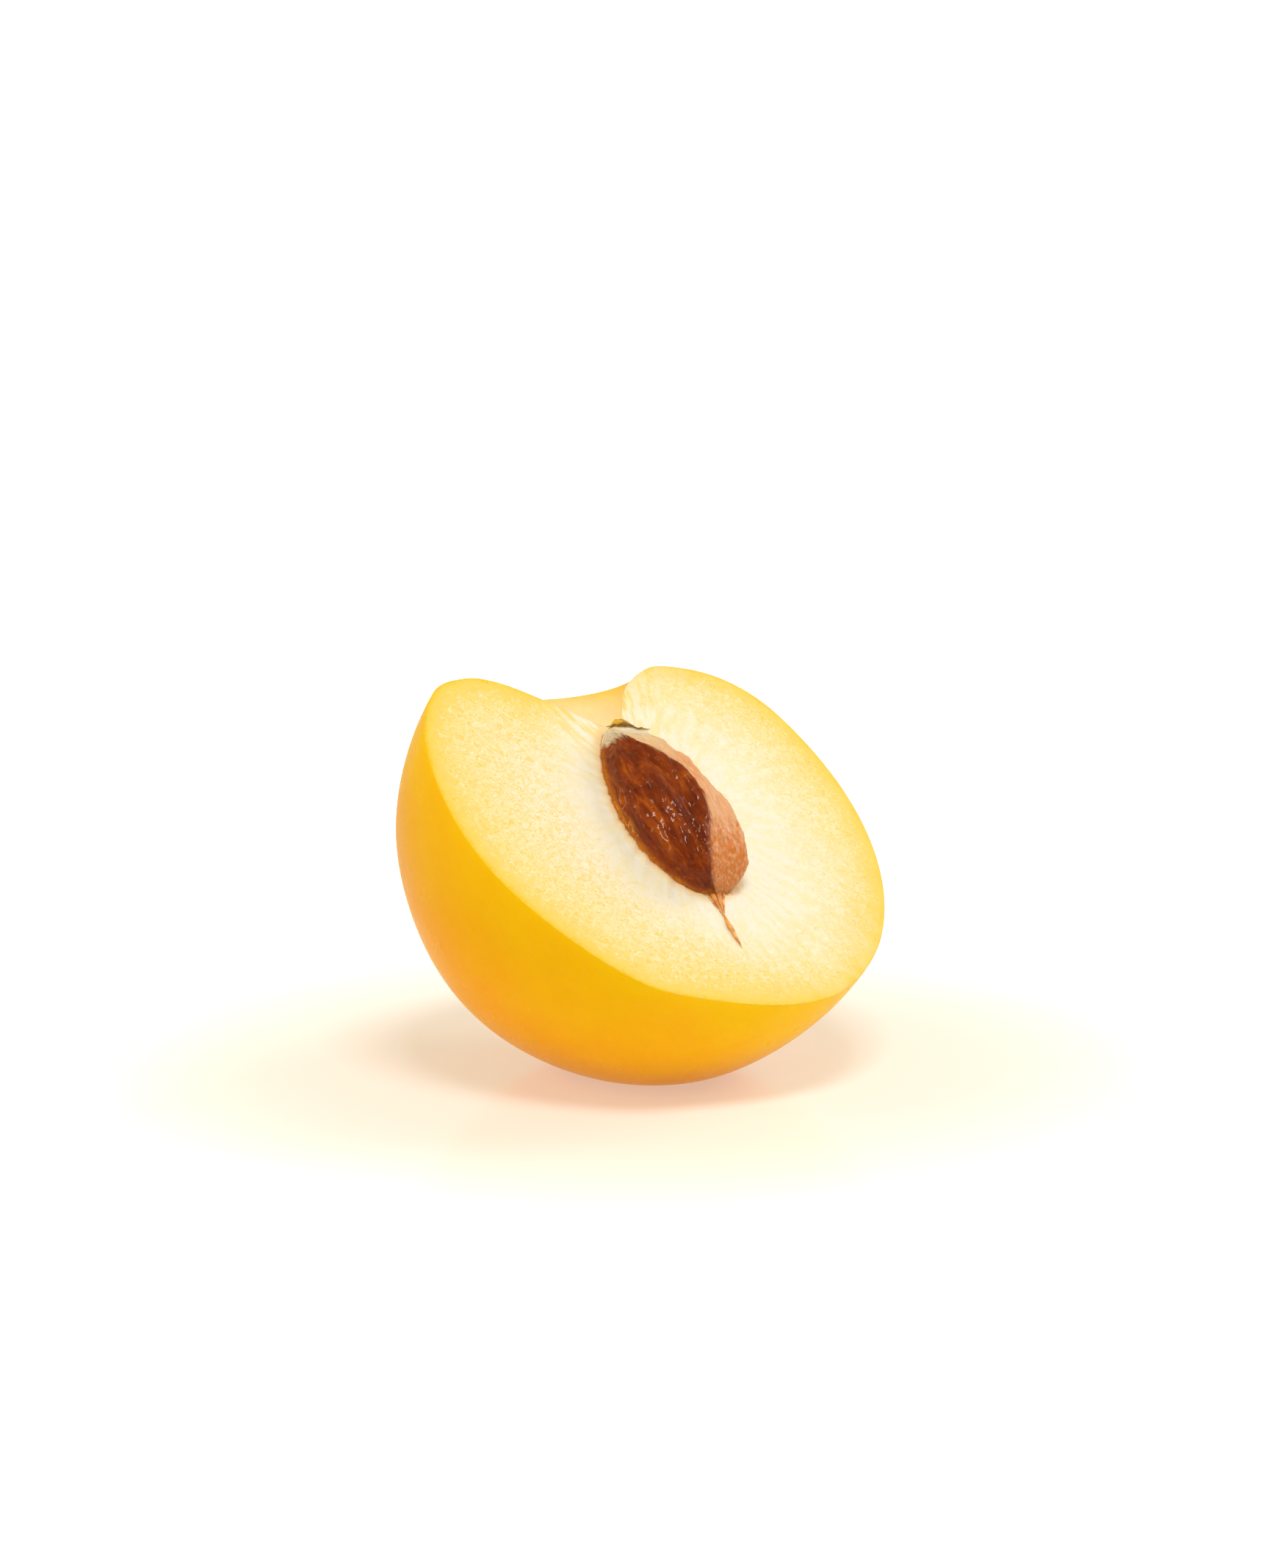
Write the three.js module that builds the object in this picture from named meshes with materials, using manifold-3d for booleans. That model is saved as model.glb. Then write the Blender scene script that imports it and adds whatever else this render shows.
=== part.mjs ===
// Half of a yellow plum, cut lengthways through the stalk cavity, with its stone still in the flesh.
// It sits on the round of its cheek, with the cut face leaning up and forwards.
// Millimetres, +Z up, the viewer looks along +Y. The origin is on the table, under the middle of the fruit.

import * as THREE from 'three';
import { mergeVertices } from 'three/addons/utils/BufferGeometryUtils.js';
import Module from 'manifold-3d';

const wasm = await Module();
wasm.setup();

// The fruit has a frame of its own: X across the cut face, Y along the core towards the stalk, Z out of the cut.

const FRUIT_COLUMNS = 88;
const FRUIT_ROWS = 52;
const CUT_LEVEL = 0;

// The whole edge of the cut face, from the floor of the stalk cavity down the right side to the blossom end,
// then up the left side. The fruit grew a little lopsided.
const FACE_OUTLINE = [
  [0, 10.4],
  [2.9, 11.2],
  [5.9, 15.2],
  [9.8, 17.8],
  [13.9, 18.6],
  [20.6, 16.3],
  [25.2, 10.9],
  [27.55, 1.0],
  [26.8, -8.8],
  [23.1, -17.8],
  [16.9, -25.1],
  [8.6, -29.9],
  [0, -30.8],
  [-8.0, -29.2],
  [-16.3, -26.0],
  [-22.7, -18.4],
  [-26.9, -9.0],
  [-27.55, 0.5],
  [-25.0, 10.5],
  [-19.9, 17.3],
  [-14.7, 18.9],
  [-10.7, 18.0],
  [-6.6, 15.4],
  [-2.3, 12.0],
];

// The same stations from cavity to blossom end, but seen from the side: how far each lies behind the cut, and
// its height. The cavity's far wall is steep, its shoulder high, and the cheek deeper than half the width.
const CHEEK_OUTLINE = [
  [0, 10.4],
  [1.6, 12.6],
  [2.7, 15.8],
  [4.3, 18.6],
  [8.6, 20.0],
  [19.5, 18.0],
  [28.4, 11.1],
  [31.8, 0.8],
  [31.1, -8.9],
  [26.5, -18.1],
  [19.2, -25.6],
  [9.6, -29.8],
  [0, -30.8],
];

// The stone, from its blunt stalk end to its tip.
const STONE_TOP = 9.3;
const STONE_TIP = -15.2;
const STONE_COLUMNS_A_STATION = 4;
const STONE_ROWS = 30;
// How far down its length the stone is thickest, and how blunt its ends are: near 0 is square, 1 is pointed.
const STONE_THICKEST = 0.59;
const STONE_BLUNTNESS = 0.42;
// Its section half way down, seen along the core: between the two ridges lies the flat pale seam band.
const STONE_SECTION = [
  [6.5, 0],
  [6.0, 2.8],
  [3.9, 5.1],
  [2.4, 5.2],
  [0.75, 6.2],
  [-0.8, 5.2],
  [-2.6, 5.1],
  [-4.9, 3.4],
  [-6.3, 0.2],
  [-5.9, -3.2],
  [-3.4, -6.0],
  [0, -7.4],
  [3.4, -6.0],
  [5.9, -3.2],
];
// The same stations at the two ends, as wide as if the stone were still at its thickest there: the first ridge
// bows over to the left and the band between the ridges widens.
const STONE_END_SECTION = [
  [6.5, 0],
  [7.0, 2.8],
  [6.8, 5.0],
  [1.0, 5.0],
  [-5.0, 6.2],
  [-5.7, 5.3],
  [-6.2, 4.3],
  [-6.5, 2.5],
  [-6.3, 0.2],
  [-5.9, -3.2],
  [-3.4, -6.0],
  [0, -7.4],
  [3.4, -6.0],
  [5.9, -3.2],
];

// The brown strand that runs on from the stone's tip through the flesh, half sunk in the cut.
const STRAND_TOP = [0.1, -13.6];
const STRAND_LENGTH = 9.0;
const STRAND_START_RADIUS = 1.0;
const STRAND_END_RADIUS = 0.28;
const STRAND_SIDES = 8;
const STRAND_LEAN = 0.09;

// The room that the stone has in its socket.
const SOCKET_GAP = 0.3;

// How the half lies: which way its cut face leans, how far from level, and how the core is turned in it.
const LEAN_TOWARDS = THREE.MathUtils.degToRad(44.1);
const TILT = THREE.MathUtils.degToRad(38.7);
const CORE_TURN = THREE.MathUtils.degToRad(-4.9);
// The ripe cheek is pressed flat by this much where it bears on the table.
const REST_FLATTENING = 1.25;

const BIG = 200;

function toSolid(geometry) {
  const bare = geometry.clone();
  bare.deleteAttribute('normal');
  bare.deleteAttribute('uv');
  const merged = mergeVertices(bare, 1e-5);
  return new wasm.Manifold(new wasm.Mesh({
    numProp: 3,
    vertProperties: new Float32Array(merged.attributes.position.array),
    triVerts: new Uint32Array(merged.index.array),
  }));
}

function toGeometry(solid) {
  const { vertProperties, triVerts } = solid.getMesh();
  const geometry = new THREE.BufferGeometry();
  geometry.setAttribute('position', new THREE.BufferAttribute(vertProperties, 3));
  geometry.setIndex(new THREE.BufferAttribute(triVerts, 1));
  return geometry;
}

// A closed skin through rings of points, each ring going round the core, with a pole at either end.
function skinOverRings(topPole, rings, bottomPole) {
  const columns = rings[0].length;
  const points = [topPole, ...rings.flat(), bottomPole];
  const indices = [];
  const at = (row, column) => 1 + row * columns + (column % columns);
  for (let column = 0; column < columns; column += 1) {
    indices.push(0, at(0, column), at(0, column + 1));
    indices.push(points.length - 1, at(rings.length - 1, column + 1), at(rings.length - 1, column));
    for (let row = 0; row < rings.length - 1; row += 1) {
      indices.push(at(row, column), at(row + 1, column), at(row + 1, column + 1));
      indices.push(at(row, column), at(row + 1, column + 1), at(row, column + 1));
    }
  }
  const geometry = new THREE.BufferGeometry().setFromPoints(points);
  geometry.setIndex(indices);
  return geometry;
}

// The whole fruit as one closed skin: the two sides of the cut face and the cheek, blended round the core.
function wholeFruit() {
  const face = new THREE.CatmullRomCurve3(
    FACE_OUTLINE.map(([x, y]) => new THREE.Vector3(x, y, 0)), true, 'catmullrom', 0.5);
  const cheekAndBack = [
    ...CHEEK_OUTLINE,
    ...CHEEK_OUTLINE.slice(1, -1).reverse().map(([z, y]) => [-z, y]),
  ];
  const cheek = new THREE.CatmullRomCurve3(
    cheekAndBack.map(([z, y]) => new THREE.Vector3(z, y, 0)), true, 'catmullrom', 0.5);
  const rings = [];
  for (let row = 1; row < FRUIT_ROWS; row += 1) {
    const share = row / FRUIT_ROWS / 2;
    const right = face.getPoint(share);
    const left = face.getPoint(1 - share);
    const behind = cheek.getPoint(share);
    rings.push(Array.from({ length: FRUIT_COLUMNS }, (_, column) => {
      const angle = (2 * Math.PI * column) / FRUIT_COLUMNS;
      const rightness = (1 + Math.cos(angle)) / 2;
      const faceReach = rightness * right.x - (1 - rightness) * left.x;
      const faceHeight = rightness * right.y + (1 - rightness) * left.y;
      const height = THREE.MathUtils.lerp(faceHeight, behind.y, Math.sin(angle) ** 2);
      return new THREE.Vector3(faceReach * Math.cos(angle), height, behind.x * Math.sin(angle));
    }).reverse());
  }
  const floor = new THREE.Vector3(0, CHEEK_OUTLINE[0][1], 0);
  const blossomEnd = new THREE.Vector3(0, CHEEK_OUTLINE.at(-1)[1], 0);
  return skinOverRings(floor, rings, blossomEnd);
}

function sectionCurve(stations) {
  const points = stations.map(([x, z]) => new THREE.Vector3(x, 0, z));
  return new THREE.CatmullRomCurve3(points, true, 'catmullrom', 0.5);
}

// The stone's own skin: its section swept from end to end, growing and shrinking with the stone's thickness.
function stoneSkin() {
  const middleSection = sectionCurve(STONE_SECTION);
  const endSection = sectionCurve(STONE_END_SECTION);
  const columns = STONE_SECTION.length * STONE_COLUMNS_A_STATION;
  const skew = Math.log(0.5) / Math.log(STONE_THICKEST);
  const rings = [];
  for (let row = 1; row < STONE_ROWS; row += 1) {
    // Rows crowd together towards the two ends, where the stone closes.
    const along = (1 - Math.cos((Math.PI * row) / STONE_ROWS)) / 2;
    const thickness = Math.sin(Math.PI * along ** skew) ** STONE_BLUNTNESS;
    const endness = (2 * along - 1) ** 2;
    const y = THREE.MathUtils.lerp(STONE_TOP, STONE_TIP, along);
    rings.push(Array.from({ length: columns }, (_, column) => {
      const share = column / columns;
      const section = middleSection.getPoint(share).lerp(endSection.getPoint(share), endness);
      return new THREE.Vector3(section.x * thickness, y, section.z * thickness);
    }).reverse());
  }
  return skinOverRings(new THREE.Vector3(0, STONE_TOP, 0), rings, new THREE.Vector3(0, STONE_TIP, 0));
}

// The same skin with every point moved out along its normal.
function grown(geometry, distance) {
  const merged = mergeVertices(geometry, 1e-5);
  merged.computeVertexNormals();
  const position = merged.attributes.position;
  const normal = merged.attributes.normal;
  for (let i = 0; i < position.count; i += 1) {
    position.setXYZ(i, position.getX(i) + distance * normal.getX(i),
      position.getY(i) + distance * normal.getY(i), position.getZ(i) + distance * normal.getZ(i));
  }
  return merged;
}

// The strand as a tapered rod along the cut, with extra thickness all round.
function strandRod(extra) {
  const rod = new THREE.CylinderGeometry(
    STRAND_START_RADIUS + extra, STRAND_END_RADIUS + extra, STRAND_LENGTH + extra, STRAND_SIDES, 4);
  rod.translate(0, -(STRAND_LENGTH + extra) / 2, 0);
  rod.rotateZ(-STRAND_LEAN);
  rod.translate(...STRAND_TOP, CUT_LEVEL);
  return rod;
}

const leanOver = new THREE.Matrix4()
  .makeRotationZ(LEAN_TOWARDS)
  .multiply(new THREE.Matrix4().makeRotationX(TILT))
  .multiply(new THREE.Matrix4().makeRotationZ(CORE_TURN));

const beyondTheCut = toSolid(new THREE.BoxGeometry(BIG, BIG, BIG).translate(0, 0, CUT_LEVEL + BIG / 2));
const stoneSolid = toSolid(stoneSkin()).add(toSolid(strandRod(0)));
const socket = toSolid(grown(stoneSkin(), SOCKET_GAP)).add(toSolid(strandRod(SOCKET_GAP)));
const halfFruit = toSolid(wholeFruit()).subtract(beyondTheCut).subtract(socket);

// The half is laid over and set down on the table, with the middle of its box over the origin.
const lyingHalf = toGeometry(halfFruit).applyMatrix4(leanOver);
lyingHalf.computeBoundingBox();
const middle = lyingHalf.boundingBox.getCenter(new THREE.Vector3());
const lowest = lyingHalf.boundingBox.min.z;
const place = new THREE.Matrix4()
  .makeTranslation(-middle.x, -middle.y, -lowest - REST_FLATTENING)
  .multiply(leanOver);
const belowTheTable = new THREE.BoxGeometry(BIG, BIG, BIG)
  .translate(0, 0, -BIG / 2)
  .applyMatrix4(place.clone().invert());
const fleshSolid = halfFruit.subtract(toSolid(belowTheTable));

const flesh = new THREE.Mesh(toGeometry(fleshSolid), new THREE.MeshStandardMaterial({
  color: new THREE.Color(0.98, 0.76, 0.16), roughness: 0.35, metalness: 0,
}));
flesh.name = 'flesh_and_skin';

const stone = new THREE.Mesh(toGeometry(stoneSolid), new THREE.MeshStandardMaterial({
  color: new THREE.Color(0.45, 0.17, 0.07), roughness: 0.5, metalness: 0,
}));
stone.name = 'stone';

const plumHalf = new THREE.Group();
plumHalf.applyMatrix4(place);
plumHalf.add(flesh, stone);

export default plumHalf;
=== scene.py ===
import math
import random
import bpy
from mathutils import Matrix, Vector, noise
from mathutils.kdtree import KDTree


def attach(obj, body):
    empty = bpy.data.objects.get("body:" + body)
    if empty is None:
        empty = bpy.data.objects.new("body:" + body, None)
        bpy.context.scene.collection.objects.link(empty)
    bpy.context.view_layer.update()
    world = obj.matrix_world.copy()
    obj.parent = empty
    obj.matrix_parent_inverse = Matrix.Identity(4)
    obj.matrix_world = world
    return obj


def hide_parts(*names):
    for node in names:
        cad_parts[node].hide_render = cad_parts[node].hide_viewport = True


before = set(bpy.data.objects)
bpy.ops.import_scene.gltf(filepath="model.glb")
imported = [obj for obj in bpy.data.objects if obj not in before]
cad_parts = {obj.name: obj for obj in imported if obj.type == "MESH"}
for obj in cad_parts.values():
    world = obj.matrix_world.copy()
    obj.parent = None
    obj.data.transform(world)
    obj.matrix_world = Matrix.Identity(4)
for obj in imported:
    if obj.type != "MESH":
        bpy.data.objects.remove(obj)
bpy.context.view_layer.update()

# How the half lies on the table
# The half plum rests on its cheek. The fruit has a frame of its own: X across the cut face, Y along the
# core towards the stalk, Z out of the cut face. This places that frame in the world.
MM = 0.001
fruit_centre = Vector((0.8537, -0.4073, 30.7981)) * MM
lean_towards = math.radians(44.1)
tilt = math.radians(38.7)
core_turn = math.radians(-4.9)
fruit_place = (
    Matrix.Translation(fruit_centre)
    @ Matrix.Rotation(lean_towards, 4, "Z")
    @ Matrix.Rotation(tilt, 4, "X")
    @ Matrix.Rotation(core_turn, 4, "Z")
)

# The camera
# It looks along +Y and a little down, from more than half a metre away, with a long lens.
camera_tilt = math.radians(11)
camera_distance = 570 * MM
aim_right_of_fruit = -1.272 * MM
aim_above_fruit = 1.131 * MM
right = Vector((1, 0, 0))
up = Vector((0, math.sin(camera_tilt), math.cos(camera_tilt)))
back = Vector((0, -math.cos(camera_tilt), math.sin(camera_tilt)))
bpy.ops.object.camera_add(
    location=fruit_centre + aim_right_of_fruit * right + aim_above_fruit * up + camera_distance * back,
    rotation=(math.radians(90) - camera_tilt, 0, 0),
)
camera = bpy.context.object
camera.name = "camera"
camera.data.lens = 119.26
camera.data.sensor_width = 36
camera.data.clip_start = 0.01
bpy.context.scene.camera = camera

# The studio
# A table top of glossy white acrylic that is lit from below, except close round the fruit, so that it
# stays white in the picture. A dome gives warm light all round. A large soft light stands on the right,
# a tall narrow one, whose reflection runs down the skin, on the left, and a smaller one hangs overhead.
floor_size = 20
floor_glow_near = 0.31
floor_glow_far = 1.5
glow_starts = 30 * MM
glow_is_full = 130 * MM
bpy.ops.object.select_all(action="DESELECT")
bpy.ops.mesh.primitive_plane_add(size=floor_size, location=(0, 0, 0))
floor = bpy.context.object
floor.name = "floor"
floor_look = bpy.data.materials.new("white_acrylic")
floor_look.use_nodes = True
floor_shader = floor_look.node_tree.nodes["Principled BSDF"]
floor_shader.inputs["Base Color"].default_value = (0.72, 0.72, 0.72, 1)
floor_shader.inputs["Emission Color"].default_value = (1, 1, 1, 1)
floor_coordinates = floor_look.node_tree.nodes.new("ShaderNodeTexCoord")
from_fruit = floor_look.node_tree.nodes.new("ShaderNodeVectorMath")
from_fruit.operation = "LENGTH"
glow = floor_look.node_tree.nodes.new("ShaderNodeMapRange")
glow.interpolation_type = "SMOOTHSTEP"
glow.inputs["From Min"].default_value = glow_starts
glow.inputs["From Max"].default_value = glow_is_full
glow.inputs["To Min"].default_value = floor_glow_near
glow.inputs["To Max"].default_value = floor_glow_far
floor_look.node_tree.links.new(floor_coordinates.outputs["Object"], from_fruit.inputs[0])
floor_look.node_tree.links.new(from_fruit.outputs["Value"], glow.inputs["Value"])
# Only the camera sees the table's full brightness, which would wash the colour out of the skin.
seen_by = floor_look.node_tree.nodes.new("ShaderNodeLightPath")
seen_glow = floor_look.node_tree.nodes.new("ShaderNodeMix")
seen_glow.inputs["A"].default_value = floor_glow_near
floor_look.node_tree.links.new(seen_by.outputs["Is Camera Ray"], seen_glow.inputs["Factor"])
floor_look.node_tree.links.new(glow.outputs["Result"], seen_glow.inputs["B"])
floor_look.node_tree.links.new(seen_glow.outputs["Result"], floor_shader.inputs["Emission Strength"])
floor_shader.inputs["Roughness"].default_value = 0.16
floor.data.materials.append(floor_look)


def add_softbox(name, place, size, power, colour):
    """A rectangular area light that points at the fruit."""
    towards = fruit_centre - Vector(place)
    turn = towards.to_track_quat("-Z", "Y").to_euler()
    bpy.ops.object.light_add(type="AREA", location=place, rotation=turn)
    softbox = bpy.context.object
    softbox.name = name
    softbox.data.shape = "RECTANGLE"
    softbox.data.size = size[0]
    softbox.data.size_y = size[1]
    softbox.data.energy = power
    softbox.data.color = colour


add_softbox("light_right", (0.75, 0.40, 0.50), (0.5, 0.5), 3.0, (1, 0.98, 0.94))
add_softbox("light_left", (-0.75, -0.12, 0.36), (0.06, 0.5), 1.3, (1, 0.86, 0.55))
add_softbox("light_over", (0.10, -0.45, 0.95), (0.34, 0.26), 5.75, (1, 1, 1))
dome_warmth = (1.0, 0.76, 0.40, 1)
dome_strength = 0.40
dome_strength_behind = 0.65
world = bpy.data.worlds.new("studio")
world.use_nodes = True
nodes = world.node_tree.nodes
links = world.node_tree.links
looking = nodes.new("ShaderNodeTexCoord")
looking_axes = nodes.new("ShaderNodeSeparateXYZ")
links.new(looking.outputs["Generated"], looking_axes.inputs[0])
dome = nodes.new("ShaderNodeMapRange")
dome.inputs["From Min"].default_value = -0.3
dome.inputs["From Max"].default_value = 1
dome.inputs["To Min"].default_value = dome_strength
dome.inputs["To Max"].default_value = dome_strength_behind
links.new(looking_axes.outputs["Y"], dome.inputs["Value"])
links.new(dome.outputs["Result"], nodes["Background"].inputs["Strength"])
nodes["Background"].inputs["Color"].default_value = dome_warmth

# What the camera sees past the table's edge is a plain white backdrop.
backdrop = nodes.new("ShaderNodeBackground")
seen_by = nodes.new("ShaderNodeLightPath")
seen = nodes.new("ShaderNodeMixShader")
links.new(seen_by.outputs["Is Camera Ray"], seen.inputs["Fac"])
links.new(nodes["Background"].outputs[0], seen.inputs[1])
links.new(backdrop.outputs[0], seen.inputs[2])
links.new(seen.outputs[0], nodes["World Output"].inputs["Surface"])
backdrop.inputs["Color"].default_value = (1, 1, 1, 1)
bpy.context.scene.world = world
bpy.context.scene.view_settings.view_transform = "Standard"

# Flesh and skin
# The half fruit is one grown body: firm juicy flesh under a thin waxy skin, cut with a knife through the
# stalk cavity. The skin is shaped first, from a sphere, and the cut face is then stretched across to the
# stone's socket.
face_outline = [
    (0, 10.4), (2.9, 11.2), (5.9, 15.2), (9.8, 17.8), (13.9, 18.6), (20.6, 16.3),
    (25.2, 10.9), (27.55, 1.0), (26.8, -8.8), (23.1, -17.8), (16.9, -25.1), (8.6, -29.9),
    (0, -30.8), (-8.0, -29.2), (-16.3, -26.0), (-22.7, -18.4), (-26.9, -9.0), (-27.55, 0.5),
    (-25.0, 10.5), (-19.9, 17.3), (-14.7, 18.9), (-10.7, 18.0), (-6.6, 15.4), (-2.3, 12.0),
]
cheek_outline = [
    (0, 10.4), (1.6, 12.6), (2.7, 15.8), (4.3, 18.6), (8.6, 20.0), (19.5, 18.0),
    (28.4, 11.1), (31.8, 0.8), (31.1, -8.9), (26.5, -18.1), (19.2, -25.6), (9.6, -29.8), (0, -30.8),
]
cheek_and_back = cheek_outline + [(-z, y) for z, y in reversed(cheek_outline[1:-1])]
skin_rings = 200
skin_segments = 256
rim_crowding = 0.7
rim_rounding = 0.07
socket_gap = -0.05


def smooth_between(before, start, end, after, t):
    """A point between start and end on the smooth curve through all four."""
    return 0.5 * (
        2 * start
        + (end - before) * t
        + (2 * before - 5 * start + 4 * end - after) * t ** 2
        + (3 * start - before - 3 * end + after) * t ** 3
    )


def point_on(outline, share):
    """A point on a smooth closed curve through the outline, at a share of its stations."""
    count = len(outline)
    station = share * count
    first = math.floor(station)
    near = [Vector(outline[(first + step) % count]) for step in (-1, 0, 1, 2)]
    return smooth_between(*near, station - first)


def fruit_point(share, angle):
    """A point of the skin, in mm: share 0 is the floor of the stalk cavity and 1 the blossom end."""
    right_side = point_on(face_outline, share / 2)
    left_side = point_on(face_outline, 1 - share / 2)
    behind = point_on(cheek_and_back, share / 2)
    rightness = (1 + math.cos(angle)) / 2
    reach = rightness * right_side.x - (1 - rightness) * left_side.x
    height = rightness * right_side.y + (1 - rightness) * left_side.y
    height += (behind.y - height) * math.sin(angle) ** 2
    return Vector((reach * math.cos(angle), height, behind.x * math.sin(angle)))


bpy.ops.object.select_all(action="DESELECT")
bpy.ops.mesh.primitive_uv_sphere_add(segments=skin_segments, ring_count=skin_rings, radius=1)
flesh = bpy.context.object
flesh.name = "plum_flesh"
bpy.ops.object.mode_set(mode="EDIT")
bpy.ops.mesh.select_all(action="DESELECT")
bpy.ops.mesh.select_mode(type="FACE")
bpy.ops.object.mode_set(mode="OBJECT")
for face in flesh.data.polygons:
    face.select = face.center.y > 0
bpy.ops.object.mode_set(mode="EDIT")
bpy.ops.mesh.delete(type="FACE")
bpy.ops.object.mode_set(mode="OBJECT")
for vertex in flesh.data.vertices:
    share = math.acos(max(-1, min(1, vertex.co.z))) / math.pi
    if 1e-6 < share < 1 - 1e-6:
        turn = -math.atan2(min(vertex.co.y, 0), vertex.co.x) / math.pi
    else:
        turn = 0.5
    turn -= rim_crowding * math.sin(2 * math.pi * turn) / (2 * math.pi)
    vertex.co = fruit_point(share, -math.pi * turn) * MM

# The socket is pressed into the cut by the stone, so it has the stone's own outline.
stone_top = 9.3
stone_tip = -15.2
stone_thickest = 0.59
stone_bluntness = 0.42


def stone_thickness(along):
    """The stone's thickness at a share of its length from the stalk end, as a share of the greatest."""
    skew = math.log(0.5) / math.log(stone_thickest)
    return max(math.sin(math.pi * along ** skew), 0) ** stone_bluntness


socket_sides = 2 * skin_rings
socket_width = 6.4
socket_depth = 8.2
socket_steps = 7
stone_centre = (stone_top + stone_tip) / 2
stone_half_length = (stone_top - stone_tip) / 2


def socket_edge(around):
    """A place on the socket's edge, in mm: around is a share of the way round from the stalk, clockwise."""
    height = math.cos(2 * math.pi * around)
    half_width = (socket_width + socket_gap) * stone_thickness((1 - height) / 2)
    side = 1 if around <= 0.5 else -1
    return Vector((side * half_width, stone_centre + (stone_half_length + socket_gap) * height, 0))


bpy.ops.object.select_all(action="DESELECT")
bpy.ops.mesh.primitive_circle_add(vertices=socket_sides, radius=1, fill_type="NOTHING")
socket = bpy.context.object
for vertex in socket.data.vertices:
    vertex.co = socket_edge((math.atan2(vertex.co.x, vertex.co.y) / (2 * math.pi)) % 1) * MM

# The socket's bowl is drawn down from its edge, step by step, and closed at the bottom.
bpy.ops.object.mode_set(mode="EDIT")
bpy.ops.mesh.select_all(action="SELECT")
for step in range(1, socket_steps + 1):
    before = math.radians(90) * (step - 1) / (socket_steps + 0.5)
    after = math.radians(90) * step / (socket_steps + 0.5)
    drop = socket_depth * (math.sin(after) - math.sin(before)) * MM
    narrowing = math.cos(after) / math.cos(before)
    bpy.ops.mesh.extrude_edges_move(TRANSFORM_OT_translate={"value": (0, 0, -drop)})
    bpy.ops.transform.resize(value=(narrowing, narrowing, 1), center_override=(0, stone_centre * MM, 0))
bpy.ops.mesh.merge(type="CENTER")
bpy.ops.object.mode_set(mode="OBJECT")

# The cut face is stretched between the edge of the skin and the edge of the socket, and the three are
# sewn together.
face_rings = 73
bpy.ops.object.select_all(action="DESELECT")
bpy.ops.mesh.primitive_grid_add(x_subdivisions=socket_sides, y_subdivisions=face_rings, size=1)
cut_face = bpy.context.object
for vertex in cut_face.data.vertices:
    around = vertex.co.x + 0.5
    rim_place = point_on(face_outline, around).to_3d()
    vertex.co = rim_place.lerp(socket_edge(around), vertex.co.y + 0.5) * MM
flesh.select_set(True)
socket.select_set(True)
bpy.context.view_layer.objects.active = flesh
bpy.ops.object.join()
bpy.ops.object.mode_set(mode="EDIT")
bpy.ops.mesh.select_all(action="SELECT")
bpy.ops.mesh.remove_doubles(threshold=0.001 * MM)
bpy.ops.mesh.normals_make_consistent(inside=False)
bpy.ops.object.mode_set(mode="OBJECT")

# The knife leaves a face that is nearly flat: fine wet grain all over, fibres torn loose towards the
# stone, a low collar where they hold the stone, and a slightly rounded edge where the skin begins.
skin_slot = 0
flesh_slot = 1
grain_height = 0.05
grains_per_mm = 1.1
fine_grain_height = 0.03
fine_grains_per_mm = 2.3
swell_height = 0.16
swells_per_mm = 0.16
fibre_height = 0.22
fibre_reach = 3.5
fibres_in_fan = 13
collar_height = 0.25
collar_width = 0.8
relief_ends = 1.5
rim_width = 0.22
under_strand = Vector((-0.3, -16.4, 0))
strand_calms = 4
rim_tree = KDTree(skin_rings * 2)
socket_tree = KDTree(socket_sides)
for index in range(skin_rings * 2):
    around = index / socket_sides
    rim_tree.insert(point_on(face_outline, around).to_3d(), index)
    socket_tree.insert(socket_edge(around), index)
rim_tree.balance()
socket_tree.balance()


def fibre_direction(place, to_stone):
    """Where the fibres stand in their fan round the stone: the same all along one fibre."""
    across = Vector((place.x, (place.y - stone_centre) * 0.62, 0)).normalized()
    return Vector((across.x, across.y, to_stone * 0.02))


def cut_height(place):
    """How high the cut face stands at a place, in mm."""
    to_rim = rim_tree.find(place)[2]
    to_stone = socket_tree.find(place)[2]
    rise = grain_height * noise.noise(place * grains_per_mm)
    rise += fine_grain_height * noise.noise(place * fine_grains_per_mm)
    rise += swell_height * noise.noise(place * swells_per_mm)
    calm = min((place - under_strand).length / strand_calms, 1) ** 2
    torn = noise.noise(fibre_direction(place, to_stone) * fibres_in_fan)
    rise += fibre_height * calm * torn * math.exp(-to_stone / fibre_reach)
    rise += collar_height * math.exp(-(to_stone / collar_width) ** 2)
    return rise * min(to_rim / relief_ends, 1) - rim_rounding * math.exp(-(to_rim / rim_width) ** 2)


for face in flesh.data.polygons:
    middle = face.center / MM
    in_socket = abs(middle.x) < 8 and -17 < middle.y < 10 and middle.z > -9
    face.material_index = flesh_slot if middle.z > -0.01 or in_socket else skin_slot
for name in ("from_rim", "from_stone"):
    flesh.data.attributes.new(name, "FLOAT", "POINT")
for name in ("fibre_place", "fruit_spot"):
    flesh.data.attributes.new(name, "FLOAT_VECTOR", "POINT")
from_rim = flesh.data.attributes["from_rim"]
from_stone = flesh.data.attributes["from_stone"]
fibre_place = flesh.data.attributes["fibre_place"]
fruit_spot = flesh.data.attributes["fruit_spot"]
for vertex in flesh.data.vertices:
    place = vertex.co / MM
    to_stone = socket_tree.find(place)[2]
    from_rim.data[vertex.index].value = rim_tree.find(place)[2]
    from_stone.data[vertex.index].value = to_stone
    fruit_spot.data[vertex.index].vector = place
    fibre_place.data[vertex.index].vector = fibre_direction(place, to_stone)
    if abs(place.z) < 1e-3:
        vertex.co.z += cut_height(place) * MM

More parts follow.
